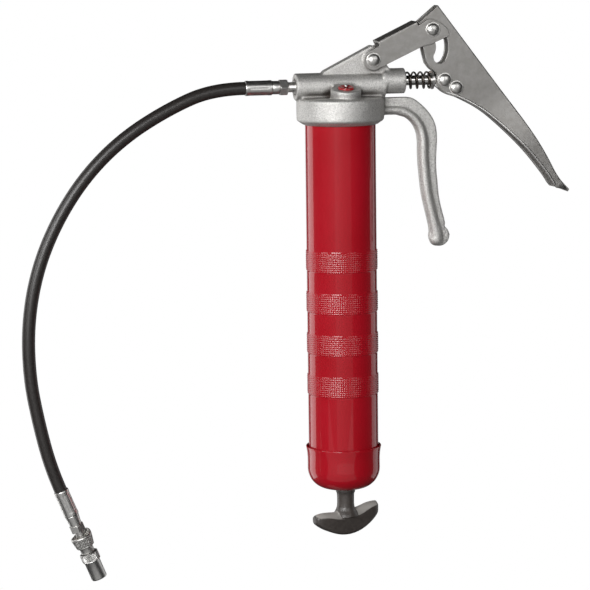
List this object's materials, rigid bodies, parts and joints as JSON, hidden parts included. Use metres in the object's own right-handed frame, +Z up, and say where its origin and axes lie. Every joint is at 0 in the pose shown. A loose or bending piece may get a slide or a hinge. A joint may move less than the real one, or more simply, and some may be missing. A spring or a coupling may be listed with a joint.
{
  "type": "pistol-grip grease gun",
  "caption": "One-hand lever grease gun: a cylindrical grease barrel under a cast pump head with a squeeze lever, a fixed grip and a whip hose that ends in a nipple coupler.",
  "frame": {"origin": "on the barrel's axis, in the middle of its plain upper stretch, where a clip or a hand holds it", "axes": "+Z up the barrel towards the head, +X along the pump towards the squeeze lever, +Y towards the back, away from the vent boss"},
  "size_m": [0.4543, 0.0708, 0.4586],
  "materials": {
    "red_paint": "deep red gloss enamel on steel",
    "cast_aluminium": "sand-cast aluminium, fine grain, bead blasted",
    "plated_steel": "satin zinc plated pressed steel",
    "bright_steel": "bright nickel plated steel",
    "polished_steel": "ground and polished steel",
    "spring_steel": "dark oiled spring wire",
    "dark_paint": "satin black enamel",
    "black_rubber": "nitrile rubber",
    "hose_rubber": "extruded satin black thermoplastic cover",
    "vent_red": "red moulded ring"
  },
  "bodies": {
    "gun": {"barrel_cap": "red_paint", "barrel_gasket": "black_rubber", "barrel_tube": "red_paint", "check_spring": "spring_steel", "coupler_body": "bright_steel", "coupler_jaws": "bright_steel", "coupler_seal": "black_rubber", "coupler_spring": "spring_steel", "gland_washer": "bright_steel", "head_casting": "cast_aluminium", "hose": "hose_rubber", "hose_end_coupler": "bright_steel", "hose_end_head": "bright_steel", "hose_ferrule_coupler": "bright_steel", "hose_ferrule_head": "bright_steel", "main_spring": "spring_steel", "outlet_adapter": "bright_steel", "plunger_seal": "black_rubber", "return_spring": "spring_steel", "rod_guide": "black_rubber", "spring_seat": "plated_steel", "vent_body": "vent_red", "vent_spring": "spring_steel"},
    "pump": {"pump_plunger": "polished_steel", "spring_washer": "bright_steel"},
    "squeeze_lever": {"lever": "plated_steel", "rivet_plunger": "bright_steel", "rivet_spacer": "bright_steel", "lever_spacer": "bright_steel"},
    "link_plate": {"link": "plated_steel", "rivet_shift": "bright_steel", "shift_roller": "bright_steel", "rivet_rib": "bright_steel"},
    "follower": {"follower_seal": "black_rubber", "follower_plate": "plated_steel", "follower_backplate": "plated_steel", "follower_hub": "plated_steel"},
    "plunger": {"plunger_rod": "polished_steel", "rod_clip": "bright_steel", "t_handle": "dark_paint"},
    "vent": {"vent_button": "polished_steel"},
    "check_valve": {"check_ball": "polished_steel"},
    "sleeve": {"coupler_sleeve": "bright_steel"}
  },
  "joints": [
    {"name": "pump_stroke", "type": "slide", "parent": "gun", "child": "pump", "axis": [-1, 0, 0], "range_m": [0, 0.018], "stiffness_N_per_m": 1000, "springref_m": -0.02, "deforming": ["return_spring"]},
    {"name": "lever_squeeze", "type": "hinge", "parent": "pump", "child": "squeeze_lever", "pos_m": [0.0857, 0, 0.0852], "axis": [0, 1, 0], "range_deg": [0, 23.7]},
    {"name": "link_swing", "type": "hinge", "parent": "squeeze_lever", "child": "link_plate", "pos_m": [0.0754, 0, 0.1263], "axis": [0, 1, 0], "range_deg": [-25.2, 0]},
    {"name": "follower_slide", "type": "slide", "parent": "gun", "child": "follower", "axis": [0, 0, -1], "range_m": [0, 0.22], "stiffness_N_per_m": 400, "springref_m": -0.15, "deforming": ["main_spring"]},
    {"name": "handle_turn", "type": "hinge", "parent": "follower", "child": "plunger", "pos_m": [0, 0, 0], "axis": [0, 0, 1], "continuous": true},
    {"name": "vent_press", "type": "slide", "parent": "gun", "child": "vent", "axis": [0, 0.2079, -0.9781], "range_m": [0, 0.0015], "stiffness_N_per_m": 800, "springref_m": -0.002, "deforming": ["vent_spring"]},
    {"name": "check_ball_lift", "type": "slide", "parent": "gun", "child": "check_valve", "axis": [-1, 0, 0], "range_m": [0, 0.001], "stiffness_N_per_m": 300, "springref_m": -0.002, "deforming": ["check_spring"]},
    {"name": "sleeve_turn", "type": "hinge", "parent": "gun", "child": "sleeve", "pos_m": [-0.20922, 0, -0.29831], "axis": [0.374, 0, -0.9274], "range_deg": [-180, 180]}
  ],
  "couplings": [
    {"joint": "lever_squeeze", "follows": "pump_stroke", "rad_per_m": 22.976},
    {"joint": "link_swing", "follows": "pump_stroke", "rad_per_m": -24.433}
  ]
}
